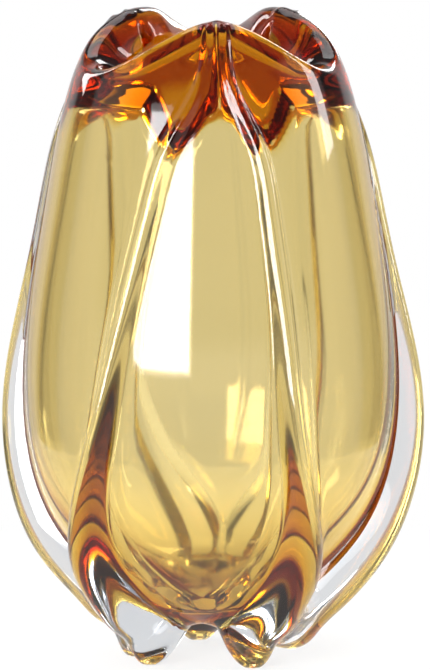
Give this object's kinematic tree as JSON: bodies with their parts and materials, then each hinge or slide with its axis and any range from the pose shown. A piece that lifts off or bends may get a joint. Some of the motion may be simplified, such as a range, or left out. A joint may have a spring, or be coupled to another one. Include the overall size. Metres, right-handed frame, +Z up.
{
  "type": "gourd vase",
  "caption": "Heavy gourd-shaped vase in cased glass: amber vessel inside a clear casing, clear ribs that tuck under as feet, and a thick amber collar below a waving, rolled rim.",
  "frame": {"origin": "on the axis of the vessel, in the plane that the feet stand on", "axes": "+Z up along the vessel's axis, -Y towards the front seen in the picture, +X to its right"},
  "size_m": [0.1695, 0.1555, 0.2601],
  "materials": {
    "amber_glass": "glossy, transparent amber",
    "clear_glass": "glossy, transparent, fire-polished"
  },
  "bodies": {
    "root": {"amber_vessel": "amber_glass", "clear_casing": "clear_glass", "rib_front_left": "clear_glass", "rib_front_right": "clear_glass", "rib_right": "clear_glass", "rib_back_right": "clear_glass", "rib_back_left": "clear_glass", "rib_left": "clear_glass"}
  },
  "joints": []
}
